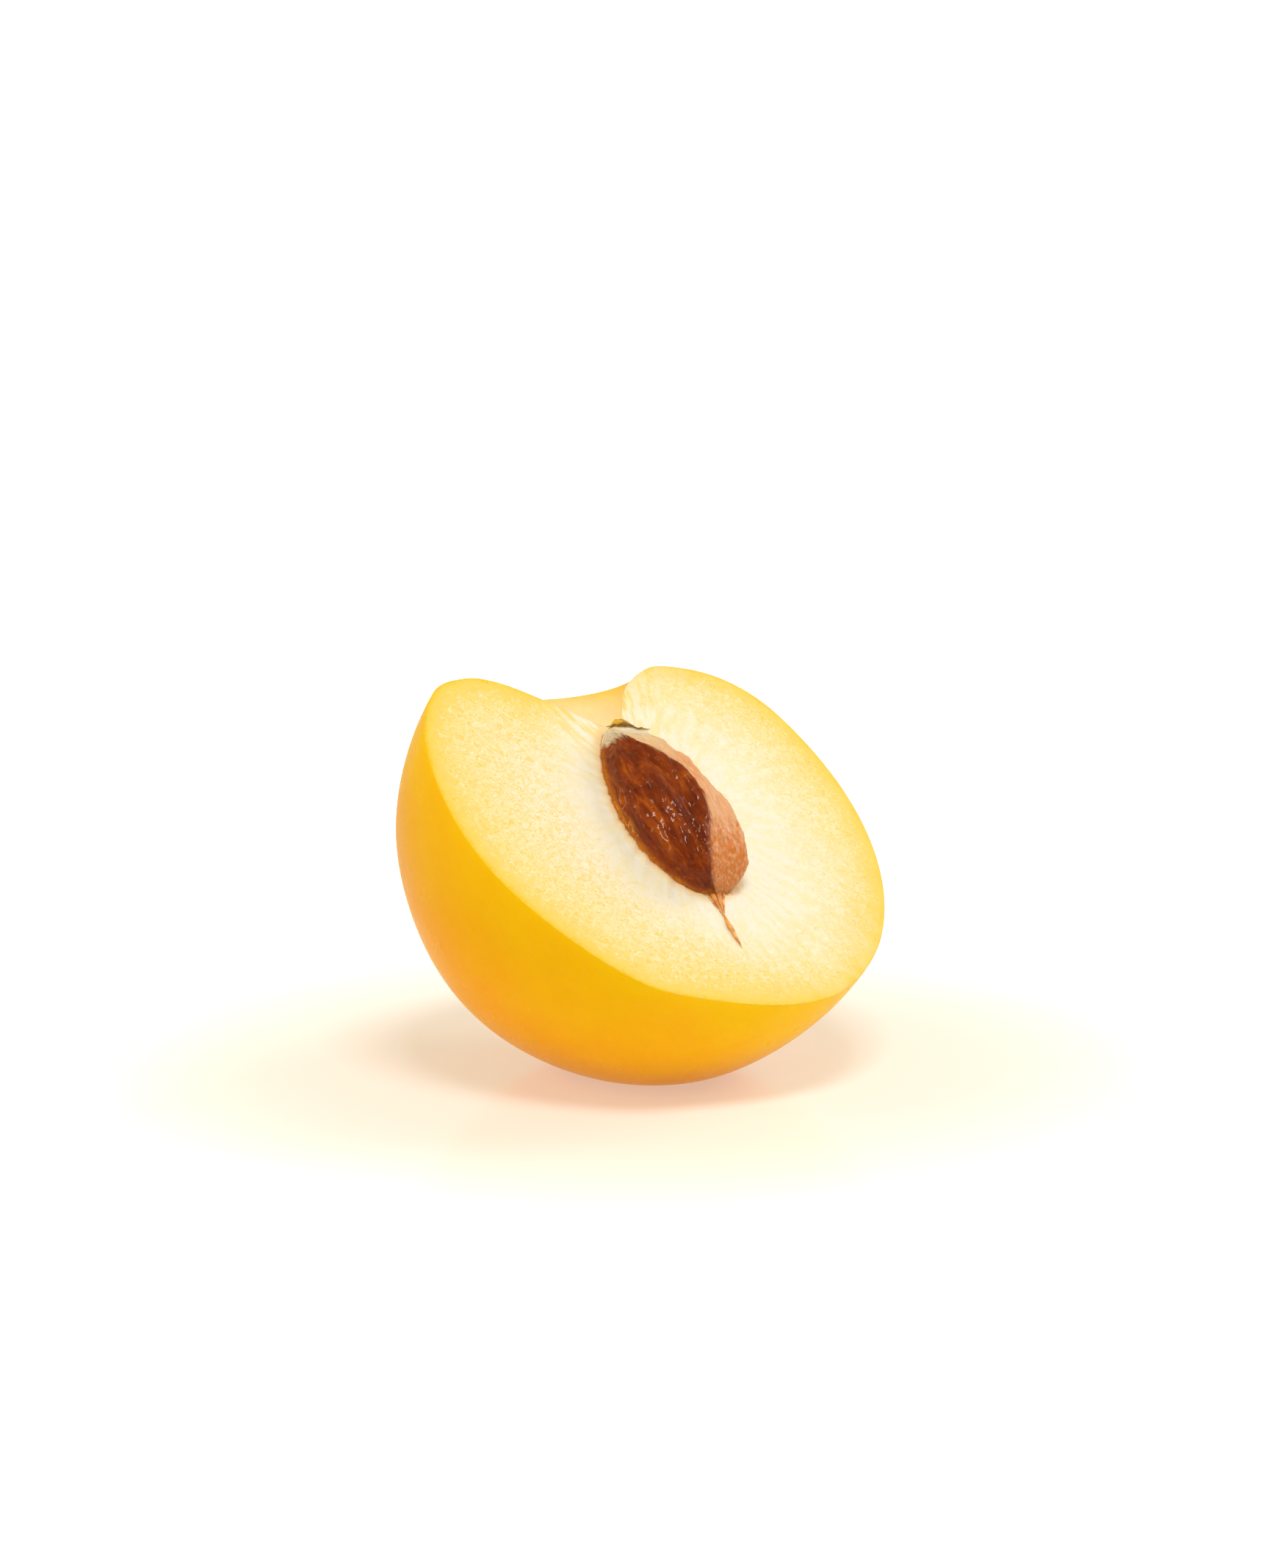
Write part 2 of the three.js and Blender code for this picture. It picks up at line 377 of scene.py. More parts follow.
# Laid over and set down, the ripe cheek is pressed flat where it bears on the table.
flesh.data.transform(fruit_place)
flat_softness = 0.15 * MM
flat_starts = 1 * MM
for vertex in flesh.data.vertices:
    if vertex.co.z < flat_starts:
        vertex.co.z = (vertex.co.z + math.hypot(vertex.co.z, flat_softness)) / 2
bpy.ops.object.shade_smooth()

# The skin is thin, waxy and a little see-through over yellow flesh: bright yellow by the cut and deeper
# gold down the cheek, which is painted shade and warm reflected light, with tiny pale dots.
skin_yellow = (1.0, 0.60, 0.001, 1)
skin_gold_painted_shade = (0.96, 0.42, 0.001, 1)
skin_dot = (1.0, 0.66, 0.08, 1)
skin_painted_highlight = (1.0, 0.78, 0.46, 1)
skin_look = bpy.data.materials.new("skin")
skin_look.use_nodes = True
nodes = skin_look.node_tree.nodes
links = skin_look.node_tree.links
skin_shader = nodes["Principled BSDF"]
spot = nodes.new("ShaderNodeAttribute")
spot.attribute_name = "fruit_spot"
axes = nodes.new("ShaderNodeSeparateXYZ")
links.new(spot.outputs["Vector"], axes.inputs[0])
# Towards the bottom of the cheek the yellow turns to deeper gold: painted shade and warm reflected light,
# mixed with random tone.
depth = nodes.new("ShaderNodeMapRange")
depth.inputs["From Min"].default_value = 0
depth.inputs["From Max"].default_value = -26
links.new(axes.outputs["Z"], depth.inputs["Value"])
patches = nodes.new("ShaderNodeTexNoise")
patches.inputs["Scale"].default_value = 0.09
patches.inputs["Detail"].default_value = 3
links.new(spot.outputs["Vector"], patches.inputs["Vector"])
uneven = nodes.new("ShaderNodeMath")
uneven.operation = "MULTIPLY_ADD"
uneven.inputs[1].default_value = 0.7
links.new(patches.outputs["Fac"], uneven.inputs[0])
links.new(depth.outputs["Result"], uneven.inputs[2])
tone_and_painted_shade = nodes.new("ShaderNodeValToRGB")
tone_and_painted_shade.color_ramp.elements[0].position = 0.3
tone_and_painted_shade.color_ramp.elements[0].color = skin_yellow
tone_and_painted_shade.color_ramp.elements[1].position = 1.0
tone_and_painted_shade.color_ramp.elements[1].color = skin_gold_painted_shade
links.new(uneven.outputs[0], tone_and_painted_shade.inputs["Fac"])
dots = nodes.new("ShaderNodeTexVoronoi")
dots.inputs["Scale"].default_value = 0.55
dots.inputs["Randomness"].default_value = 1
links.new(spot.outputs["Vector"], dots.inputs["Vector"])
dot_mask = nodes.new("ShaderNodeMapRange")
dot_mask.inputs["From Min"].default_value = 0.16
dot_mask.inputs["From Max"].default_value = 0.06
dot_mask.inputs["To Max"].default_value = 0.25
links.new(dots.outputs["Distance"], dot_mask.inputs["Value"])
dotted = nodes.new("ShaderNodeMix")
dotted.data_type = "RGBA"
links.new(dot_mask.outputs["Result"], dotted.inputs["Factor"])
links.new(tone_and_painted_shade.outputs["Color"], dotted.inputs["A"])
dotted.inputs["B"].default_value = skin_dot

# Down in the stalk cavity the skin is painted paler: a painted highlight and painted reflection on the
# cavity wall.
from_scar = nodes.new("ShaderNodeVectorMath")
from_scar.operation = "DISTANCE"
from_scar.inputs[1].default_value = (0.5, 12.5, -1)
links.new(spot.outputs["Vector"], from_scar.inputs[0])
ragged_edge = nodes.new("ShaderNodeMath")
ragged_edge.operation = "MULTIPLY_ADD"
ragged_edge.inputs[1].default_value = 5
links.new(patches.outputs["Fac"], ragged_edge.inputs[0])
links.new(from_scar.outputs["Value"], ragged_edge.inputs[2])
# How strongly the painted highlight lies on the cavity wall, round the stalk scar.
cavity_highlight_mask = nodes.new("ShaderNodeMapRange")
cavity_highlight_mask.interpolation_type = "SMOOTHSTEP"
cavity_highlight_mask.inputs["From Min"].default_value = 13
cavity_highlight_mask.inputs["From Max"].default_value = 4
cavity_highlight_mask.inputs["To Max"].default_value = 0.85
links.new(ragged_edge.outputs[0], cavity_highlight_mask.inputs["Value"])
cavity_highlighted = nodes.new("ShaderNodeMix")
cavity_highlighted.data_type = "RGBA"
links.new(cavity_highlight_mask.outputs["Result"], cavity_highlighted.inputs["Factor"])
links.new(dotted.outputs["Result"], cavity_highlighted.inputs["A"])
cavity_highlighted.inputs["B"].default_value = skin_painted_highlight
links.new(cavity_highlighted.outputs["Result"], skin_shader.inputs["Base Color"])
wax = nodes.new("ShaderNodeTexNoise")
wax.inputs["Scale"].default_value = 0.35
wax.inputs["Detail"].default_value = 5
links.new(spot.outputs["Vector"], wax.inputs["Vector"])
wax_roughness = nodes.new("ShaderNodeMapRange")
wax_roughness.inputs["To Min"].default_value = 0.22
wax_roughness.inputs["To Max"].default_value = 0.36
links.new(wax.outputs["Fac"], wax_roughness.inputs["Value"])
links.new(wax_roughness.outputs["Result"], skin_shader.inputs["Roughness"])
pores = nodes.new("ShaderNodeTexNoise")
pores.inputs["Scale"].default_value = 0.6
pores.inputs["Detail"].default_value = 3
links.new(spot.outputs["Vector"], pores.inputs["Vector"])
pore_bump = nodes.new("ShaderNodeBump")
pore_bump.inputs["Strength"].default_value = 0.02
pore_bump.inputs["Distance"].default_value = 0.3 * MM
links.new(pores.outputs["Fac"], pore_bump.inputs["Height"])
links.new(pore_bump.outputs["Normal"], skin_shader.inputs["Normal"])
skin_shader.inputs["Subsurface Weight"].default_value = 0.35
skin_shader.inputs["Subsurface Radius"].default_value = (1.0, 0.55, 0.12)
skin_shader.inputs["Subsurface Scale"].default_value = 4 * MM
skin_shader.inputs["Specular IOR Level"].default_value = 0.04

# The cut flesh is wet and pale: yellow under the skin, cream further in, and nearly white along the
# fibres that run in to the stone.
rind_gold = (0.99, 0.60, 0.01, 1)
rind_yellow = (0.97, 0.70, 0.10, 1)
flesh_cream = (0.98, 0.82, 0.38, 1)
flesh_pale = (0.99, 0.90, 0.66, 1)
flesh_streak = (0.93, 0.68, 0.13, 1)
flesh_white_and_painted_light = (1.0, 0.96, 0.86, 1)
flesh_stained = (0.98, 0.62, 0.28, 1)
flesh_look = bpy.data.materials.new("flesh")
flesh_look.use_nodes = True
nodes = flesh_look.node_tree.nodes
links = flesh_look.node_tree.links
flesh_shader = nodes["Principled BSDF"]
rim_distance = nodes.new("ShaderNodeAttribute")
rim_distance.attribute_name = "from_rim"
stone_distance = nodes.new("ShaderNodeAttribute")
stone_distance.attribute_name = "from_stone"
spot = nodes.new("ShaderNodeAttribute")
spot.attribute_name = "fruit_spot"
fibres_at = nodes.new("ShaderNodeAttribute")
fibres_at.attribute_name = "fibre_place"
mottle = nodes.new("ShaderNodeTexNoise")
mottle.inputs["Scale"].default_value = 0.45
mottle.inputs["Detail"].default_value = 7
mottle.inputs["Roughness"].default_value = 0.65
links.new(spot.outputs["Vector"], mottle.inputs["Vector"])
wavering = nodes.new("ShaderNodeMath")
wavering.operation = "MULTIPLY_ADD"
wavering.inputs[1].default_value = 1.6
links.new(mottle.outputs["Fac"], wavering.inputs[0])
links.new(rim_distance.outputs["Fac"], wavering.inputs[2])
inwards = nodes.new("ShaderNodeMapRange")
inwards.inputs["From Min"].default_value = 0.8
inwards.inputs["From Max"].default_value = 13
links.new(wavering.outputs[0], inwards.inputs["Value"])
flesh_ramp = nodes.new("ShaderNodeValToRGB")
flesh_ramp.color_ramp.elements[0].position = 0.0
flesh_ramp.color_ramp.elements[0].color = rind_gold
flesh_ramp.color_ramp.elements[1].position = 0.06
flesh_ramp.color_ramp.elements[1].color = rind_yellow
for position, colour in ((0.38, flesh_cream), (1.0, flesh_pale)):
    stop = flesh_ramp.color_ramp.elements.new(position)
    stop.color = colour
links.new(inwards.outputs["Result"], flesh_ramp.inputs["Fac"])

# Round the stone the flesh is nearly white. On the stone's right the white reaches much further: that is
# painted light, where the strong light falls on the cut face.
spot_axes = nodes.new("ShaderNodeSeparateXYZ")
links.new(spot.outputs["Vector"], spot_axes.inputs[0])
# The white reaches further towards the right: painted light on that side of the cut face.
right_side = nodes.new("ShaderNodeMapRange")
right_side.inputs["From Min"].default_value = -6
right_side.inputs["From Max"].default_value = 9
right_side.inputs["To Min"].default_value = 10
right_side.inputs["To Max"].default_value = 22
links.new(spot_axes.outputs["X"], right_side.inputs["Value"])
white_reach = nodes.new("ShaderNodeMath")
white_reach.operation = "DIVIDE"
links.new(stone_distance.outputs["Fac"], white_reach.inputs[0])
links.new(right_side.outputs["Result"], white_reach.inputs[1])
white_and_painted_light = nodes.new("ShaderNodeMapRange")
white_and_painted_light.interpolation_type = "SMOOTHSTEP"
white_and_painted_light.inputs["From Min"].default_value = 1
white_and_painted_light.inputs["From Max"].default_value = 0.05
white_and_painted_light.inputs["To Max"].default_value = 1
links.new(white_reach.outputs[0], white_and_painted_light.inputs["Value"])

# The white is drawn out in rays along the fibres.
fibres = nodes.new("ShaderNodeTexNoise")
fibres.inputs["Scale"].default_value = 15
fibres.inputs["Detail"].default_value = 4
links.new(fibres_at.outputs["Vector"], fibres.inputs["Vector"])
fibre_mask = nodes.new("ShaderNodeMapRange")
fibre_mask.inputs["From Min"].default_value = 0.42
fibre_mask.inputs["From Max"].default_value = 0.56
fibre_mask.inputs["To Min"].default_value = 0.3
links.new(fibres.outputs["Fac"], fibre_mask.inputs["Value"])
white_fibres = nodes.new("ShaderNodeMath")
white_fibres.operation = "MULTIPLY"
links.new(white_and_painted_light.outputs["Result"], white_fibres.inputs[0])
links.new(fibre_mask.outputs["Result"], white_fibres.inputs[1])
whitened = nodes.new("ShaderNodeMix")
whitened.data_type = "RGBA"
links.new(white_fibres.outputs[0], whitened.inputs["Factor"])
links.new(flesh_ramp.outputs["Color"], whitened.inputs["A"])
whitened.inputs["B"].default_value = flesh_white_and_painted_light

# Pale grains and short ochre streaks wander through the rest of it. The pale grains are partly the flesh's
# own mottle and partly painted glints of its wet surface.
cells = nodes.new("ShaderNodeTexNoise")
cells.inputs["Scale"].default_value = 1.5
cells.inputs["Detail"].default_value = 6
cells.inputs["Roughness"].default_value = 0.72
cells.inputs["Distortion"].default_value = 1.4
links.new(spot.outputs["Vector"], cells.inputs["Vector"])
# Pale grains: the flesh's own mottle, and painted glints of its wet surface.
grain_and_glint_mask = nodes.new("ShaderNodeMapRange")
grain_and_glint_mask.inputs["From Min"].default_value = 0.46
grain_and_glint_mask.inputs["From Max"].default_value = 0.34
grain_and_glint_mask.inputs["To Max"].default_value = 0.7
links.new(cells.outputs["Fac"], grain_and_glint_mask.inputs["Value"])
off_the_rim = nodes.new("ShaderNodeMapRange")
off_the_rim.inputs["From Min"].default_value = 0.4
off_the_rim.inputs["From Max"].default_value = 2.5
links.new(rim_distance.outputs["Fac"], off_the_rim.inputs["Value"])
grains_and_glints = nodes.new("ShaderNodeMath")
grains_and_glints.operation = "MULTIPLY"
links.new(grain_and_glint_mask.outputs["Result"], grains_and_glints.inputs[0])
links.new(off_the_rim.outputs["Result"], grains_and_glints.inputs[1])
grained_and_glinting = nodes.new("ShaderNodeMix")
grained_and_glinting.data_type = "RGBA"
links.new(grains_and_glints.outputs[0], grained_and_glinting.inputs["Factor"])
links.new(whitened.outputs["Result"], grained_and_glinting.inputs["A"])
grained_and_glinting.inputs["B"].default_value = flesh_white_and_painted_light
streak_mask = nodes.new("ShaderNodeMapRange")
streak_mask.inputs["From Min"].default_value = 0.46
streak_mask.inputs["From Max"].default_value = 0.62
streak_mask.inputs["To Max"].default_value = 0.85
links.new(cells.outputs["Fac"], streak_mask.inputs["Value"])
streak_reach = nodes.new("ShaderNodeMapRange")
streak_reach.inputs["From Min"].default_value = 0
streak_reach.inputs["From Max"].default_value = 0.8
streak_reach.inputs["To Min"].default_value = 1
streak_reach.inputs["To Max"].default_value = 0.2
links.new(white_and_painted_light.outputs["Result"], streak_reach.inputs["Value"])
streaks = nodes.new("ShaderNodeMath")
streaks.operation = "MULTIPLY"
links.new(streak_mask.outputs["Result"], streaks.inputs[0])
links.new(streak_reach.outputs["Result"], streaks.inputs[1])
veined = nodes.new("ShaderNodeMix")
veined.data_type = "RGBA"
links.new(streaks.outputs[0], veined.inputs["Factor"])
links.new(grained_and_glinting.outputs["Result"], veined.inputs["A"])
veined.inputs["B"].default_value = flesh_streak

# The juice of the stone has stained the flesh right beside it.
stain_mask = nodes.new("ShaderNodeMapRange")
stain_mask.interpolation_type = "SMOOTHSTEP"
stain_mask.inputs["From Min"].default_value = 1.3
stain_mask.inputs["From Max"].default_value = 0.05
stain_mask.inputs["To Max"].default_value = 0.8
links.new(stone_distance.outputs["Fac"], stain_mask.inputs["Value"])
stained = nodes.new("ShaderNodeMix")
stained.data_type = "RGBA"
links.new(stain_mask.outputs["Result"], stained.inputs["Factor"])
links.new(veined.outputs["Result"], stained.inputs["A"])
stained.inputs["B"].default_value = flesh_stained
links.new(stained.outputs["Result"], flesh_shader.inputs["Base Color"])
cell_bump = nodes.new("ShaderNodeBump")
cell_bump.inputs["Strength"].default_value = 0.4
cell_bump.inputs["Distance"].default_value = 0.25 * MM
links.new(cells.outputs["Fac"], cell_bump.inputs["Height"])
links.new(cell_bump.outputs["Normal"], flesh_shader.inputs["Normal"])
juice = nodes.new("ShaderNodeMapRange")
juice.inputs["From Min"].default_value = 0.3
juice.inputs["From Max"].default_value = 0.7
juice.inputs["To Min"].default_value = 0.24
juice.inputs["To Max"].default_value = 0.5
links.new(mottle.outputs["Fac"], juice.inputs["Value"])
links.new(juice.outputs["Result"], flesh_shader.inputs["Roughness"])
flesh_shader.inputs["Subsurface Weight"].default_value = 0.5
flesh_shader.inputs["Subsurface Radius"].default_value = (1.0, 0.88, 0.7)
flesh_shader.inputs["Subsurface Scale"].default_value = 1.2 * MM
flesh_shader.inputs["Specular IOR Level"].default_value = 0.4
flesh.data.materials.append(skin_look)
flesh.data.materials.append(flesh_look)
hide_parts("flesh_and_skin")
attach(flesh, "root")

# The stone
# A hard woody stone standing on its edge in the flesh, its seam towards the viewer: a sharp ridge that
# bows over at both ends, a pale flat band beside it, and dark fibrous flanks that are still wet.
stone_section = [
    (6.5, 0), (6.0, 2.8), (3.9, 5.1), (2.4, 5.2), (0.75, 6.2), (-0.8, 5.2), (-2.6, 5.1), (-4.9, 3.4),
    (-6.3, 0.2), (-5.9, -3.2), (-3.4, -6.0), (0, -7.4), (3.4, -6.0), (5.9, -3.2),
]
stone_end_section = [
    (6.5, 0), (7.0, 2.8), (6.8, 5.0), (1.0, 5.0), (-5.0, 6.2), (-5.7, 5.3), (-6.2, 4.3), (-6.5, 2.5),
    (-6.3, 0.2), (-5.9, -3.2), (-3.4, -6.0), (0, -7.4), (3.4, -6.0), (5.9, -3.2),
]
stone_segments = 280
stone_rings = 150
grain_stretch = 0.22
lump_height = 0.28
lumps_per_mm = 0.33
furrow_height = 0.34
furrows_per_mm = 0.95
pit_height = 0.15
pits_per_mm = 1.7
scratch_height = 0.07
scratches_per_mm = 2.6


def stone_point(along, share):
    """A point of the smooth stone, in mm: along from its top to its tip, and share round its section."""
    endness = (2 * along - 1) ** 2
    section = point_on(stone_section, share).lerp(point_on(stone_end_section, share), endness)
    thickness = stone_thickness(along)
    height = stone_top + (stone_tip - stone_top) * along
    return Vector((section.x * thickness, height, section.y * thickness))


bpy.ops.object.select_all(action="DESELECT")
bpy.ops.mesh.primitive_uv_sphere_add(segments=stone_segments, ring_count=stone_rings, radius=1)
stone = bpy.context.object
stone.name = "plum_stone"
for name in ("section_place", "length_place", "above_cut"):
    stone.data.attributes.new(name, "FLOAT", "POINT")
stone.data.attributes.new("grain_place", "FLOAT_VECTOR", "POINT")
section_place = stone.data.attributes["section_place"]
length_place = stone.data.attributes["length_place"]
above_cut = stone.data.attributes["above_cut"]
grain_place = stone.data.attributes["grain_place"]
for vertex in stone.data.vertices:
    down = math.acos(max(-1, min(1, vertex.co.z))) / math.pi
    along = (1 - math.cos(math.pi * down)) / 2
    share = (math.atan2(vertex.co.y, vertex.co.x) / (2 * math.pi)) % 1
    place = stone_point(along, share)
    outwards = Vector((place.x, 6 * (0.5 - along) ** 3, place.z)).normalized()
    lengthwise = Vector((place.x, place.y * grain_stretch, place.z))
    rise = lump_height * noise.noise(place * lumps_per_mm)
    rise += furrow_height * noise.noise(lengthwise * furrows_per_mm)
    rise += pit_height * noise.noise(place * pits_per_mm)
    rise += scratch_height * noise.noise(lengthwise * scratches_per_mm)
    # The relief fades towards both ends, and where the flesh grips the stone.
    rise *= min(stone_thickness(along) * 1.6, 1) * min(0.15 + abs(place.z) / 1.8, 1)
    place += outwards * rise
    section_place.data[vertex.index].value = share * len(stone_section)
    length_place.data[vertex.index].value = along
    grain_place.data[vertex.index].vector = lengthwise
    above_cut.data[vertex.index].value = place.z
    vertex.co = place * MM
stone.data.transform(fruit_place)
# The sphere's height became the stone's length, which mirrors it, so its faces are turned outwards again.
bpy.ops.object.mode_set(mode="EDIT")
bpy.ops.mesh.select_all(action="SELECT")
bpy.ops.mesh.normals_make_consistent(inside=False)
bpy.ops.object.mode_set(mode="OBJECT")
bpy.ops.object.shade_smooth()

stone_dark = (0.17, 0.019, 0.0004, 1)
stone_brown = (0.30, 0.045, 0.001, 1)
stone_rust = (0.60, 0.14, 0.003, 1)
stone_tip_red = (0.80, 0.25, 0.055, 1)
stone_orange = (0.80, 0.27, 0.008, 1)
stone_band = (0.94, 0.47, 0.24, 1)
stone_cream = (0.98, 0.72, 0.42, 1)
stone_cap = (1.0, 0.83, 0.56, 1)
stone_look = bpy.data.materials.new("stone")
stone_look.use_nodes = True
nodes = stone_look.node_tree.nodes
links = stone_look.node_tree.links
stone_shader = nodes["Principled BSDF"]
grain_at = nodes.new("ShaderNodeAttribute")
grain_at.attribute_name = "grain_place"
section_at = nodes.new("ShaderNodeAttribute")
section_at.attribute_name = "section_place"
length_at = nodes.new("ShaderNodeAttribute")
length_at.attribute_name = "length_place"
height_at = nodes.new("ShaderNodeAttribute")
height_at.attribute_name = "above_cut"

# Dark and rusty grain runs down the flanks.
grain = nodes.new("ShaderNodeTexNoise")
grain.inputs["Scale"].default_value = 0.9
grain.inputs["Detail"].default_value = 8
grain.inputs["Roughness"].default_value = 0.62
grain.inputs["Distortion"].default_value = 0.6
links.new(grain_at.outputs["Vector"], grain.inputs["Vector"])
flank = nodes.new("ShaderNodeValToRGB")
flank.color_ramp.elements[0].position = 0.38
flank.color_ramp.elements[0].color = stone_dark
flank.color_ramp.elements[1].position = 0.74
flank.color_ramp.elements[1].color = stone_rust
middle_stop = flank.color_ramp.elements.new(0.54)
middle_stop.color = stone_brown
links.new(grain.outputs["Fac"], flank.inputs["Fac"])

# The band between the ridges is pale in the middle and orange towards the tip, with cream threads in it.
band_edge = nodes.new("ShaderNodeMath")
band_edge.operation = "MULTIPLY_ADD"
band_edge.inputs[1].default_value = 0.7
links.new(grain.outputs["Fac"], band_edge.inputs[0])
links.new(section_at.outputs["Fac"], band_edge.inputs[2])
band_mask = nodes.new("ShaderNodeMapRange")
band_mask.inputs["From Min"].default_value = 4.32
band_mask.inputs["From Max"].default_value = 4.0
links.new(band_edge.outputs[0], band_mask.inputs["Value"])
band_length = nodes.new("ShaderNodeMath")
band_length.operation = "MULTIPLY_ADD"
band_length.inputs[1].default_value = 0.35
links.new(grain.outputs["Fac"], band_length.inputs[0])
links.new(length_at.outputs["Fac"], band_length.inputs[2])
band_colour = nodes.new("ShaderNodeValToRGB")
band_colour.color_ramp.elements[0].position = 0.3
band_colour.color_ramp.elements[0].color = stone_cream
band_colour.color_ramp.elements[1].position = 1.0
band_colour.color_ramp.elements[1].color = stone_tip_red
for position, colour in ((0.52, stone_band), (0.88, stone_band)):
    stop = band_colour.color_ramp.elements.new(position)
    stop.color = colour
links.new(band_length.outputs[0], band_colour.inputs["Fac"])
band_threads = nodes.new("ShaderNodeTexNoise")
band_threads.inputs["Scale"].default_value = 3.4
band_threads.inputs["Detail"].default_value = 6
links.new(grain_at.outputs["Vector"], band_threads.inputs["Vector"])
thread_mask = nodes.new("ShaderNodeMapRange")
thread_mask.inputs["From Min"].default_value = 0.46
thread_mask.inputs["From Max"].default_value = 0.64
thread_mask.inputs["To Max"].default_value = 0.45
links.new(band_threads.outputs["Fac"], thread_mask.inputs["Value"])
threaded = nodes.new("ShaderNodeMix")
threaded.data_type = "RGBA"
links.new(thread_mask.outputs["Result"], threaded.inputs["Factor"])
links.new(band_colour.outputs["Color"], threaded.inputs["A"])
threaded.inputs["B"].default_value = stone_cream
banded = nodes.new("ShaderNodeMix")
banded.data_type = "RGBA"
links.new(band_mask.outputs["Result"], banded.inputs["Factor"])
links.new(flank.outputs["Color"], banded.inputs["A"])
links.new(threaded.outputs["Result"], banded.inputs["B"])

# Where it meets the flesh it is orange with juice, and its top is still covered in cream fibre.
ragged_height = nodes.new("ShaderNodeMath")
ragged_height.operation = "MULTIPLY_ADD"
ragged_height.inputs[1].default_value = 2.4
links.new(grain.outputs["Fac"], ragged_height.inputs[0])
links.new(height_at.outputs["Fac"], ragged_height.inputs[2])
edge_mask = nodes.new("ShaderNodeMapRange")
edge_mask.inputs["From Min"].default_value = 2.3
edge_mask.inputs["From Max"].default_value = 1.4
edge_mask.inputs["To Max"].default_value = 0.9
links.new(ragged_height.outputs[0], edge_mask.inputs["Value"])
edged = nodes.new("ShaderNodeMix")
edged.data_type = "RGBA"
links.new(edge_mask.outputs["Result"], edged.inputs["Factor"])
links.new(banded.outputs["Result"], edged.inputs["A"])
edged.inputs["B"].default_value = stone_orange
top_edge = nodes.new("ShaderNodeMath")
top_edge.operation = "MULTIPLY_ADD"
top_edge.inputs[1].default_value = 0.22
links.new(grain.outputs["Fac"], top_edge.inputs[0])
links.new(length_at.outputs["Fac"], top_edge.inputs[2])
top_mask = nodes.new("ShaderNodeMapRange")
top_mask.inputs["From Min"].default_value = 0.25
top_mask.inputs["From Max"].default_value = 0.19
links.new(top_edge.outputs[0], top_mask.inputs["Value"])
capped = nodes.new("ShaderNodeMix")
capped.data_type = "RGBA"
links.new(top_mask.outputs["Result"], capped.inputs["Factor"])
links.new(edged.outputs["Result"], capped.inputs["A"])
capped.inputs["B"].default_value = stone_cap
links.new(capped.outputs["Result"], stone_shader.inputs["Base Color"])

# A net of torn fibres holds the juice and glitters.
net = nodes.new("ShaderNodeTexNoise")
net.inputs["Scale"].default_value = 2.6
net.inputs["Detail"].default_value = 5
net.inputs["Roughness"].default_value = 0.7
net.inputs["Distortion"].default_value = 1.2
links.new(grain_at.outputs["Vector"], net.inputs["Vector"])
net_bump = nodes.new("ShaderNodeBump")
net_bump.inputs["Strength"].default_value = 1.0
net_bump.inputs["Distance"].default_value = 0.35 * MM
links.new(net.outputs["Fac"], net_bump.inputs["Height"])
links.new(net_bump.outputs["Normal"], stone_shader.inputs["Normal"])
stone_shader.inputs["Specular IOR Level"].default_value = 0.12
stone_shader.inputs["Roughness"].default_value = 0.38
stone_shader.inputs["Subsurface Weight"].default_value = 0.1
stone_shader.inputs["Subsurface Radius"].default_value = (1.0, 0.4, 0.2)
stone_shader.inputs["Subsurface Scale"].default_value = 1 * MM
stone_shader.inputs["Coat Weight"].default_value = 0.3
stone_shader.inputs["Coat Roughness"].default_value = 0.08
stone.data.materials.append(stone_look)
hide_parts("stone")
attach(stone, "root")

# The strand
# A brown strand of fibre that grows on from the stone's tip, half sunk in the cut. Four roots fan out over
# the tip and run together into one thread, which thickens once more before it ends.
strand_roots = [
    [(-2.1, -12.7, 0.6), (-1.55, -14.5, 0.25), (-1.1, -16.0, 0.06), (-0.85, -17.6, 0.0)],
    [(-1.1, -13.2, 0.8), (-0.8, -14.8, 0.32), (-0.75, -16.3, 0.1), (-0.75, -17.8, 0.0)],
    [(0.1, -13.5, 1.0), (0.1, -14.8, 0.4), (-0.25, -16.2, 0.12), (-0.6, -17.8, 0.0)],
    [(1.2, -13.3, 0.8), (0.95, -14.7, 0.28), (0.3, -16.1, 0.08), (-0.45, -17.6, 0.0)],
    [
        (-0.6, -16.6, 0.0), (-0.75, -18.2, 0.02), (-0.95, -19.6, 0.03), (-1.0, -21.2, 0.02),
        (-1.05, -22.6, -0.03),
    ],
]
strand_radii = [
    [0.5, 0.26, 0.18, 0.1],
    [0.6, 0.36, 0.24, 0.15],
    [0.7, 0.42, 0.24, 0.15],
    [0.6, 0.3, 0.2, 0.12],
    [0.2, 0.2, 0.34, 0.2, 0.05],
]


def draw_out(piece, path, radii):
    """Draws a sphere of radius 1 out into a tapering thread along a path, in mm."""
    for vertex in piece.data.vertices:
        share = math.acos(max(-1, min(1, vertex.co.z))) / math.pi
        station = share * (len(path) - 1)
        first = min(int(station), len(path) - 2)
        t = station - first
        near = [Vector(path[min(max(first + step, 0), len(path) - 1)]) for step in (-1, 0, 1, 2)]
        ahead = near[2] - near[1]
        side = ahead.cross(Vector((0, 0, 1))).normalized()
        over = side.cross(ahead).normalized()
        radius = radii[first] + (radii[first + 1] - radii[first]) * t
        radius *= math.sin(math.pi * share) ** 0.4 if 0 < share < 1 else 0
        round_it = Vector((vertex.co.x, vertex.co.y)).normalized() * radius
        vertex.co = (smooth_between(*near, t) + side * round_it.x + over * round_it.y) * MM


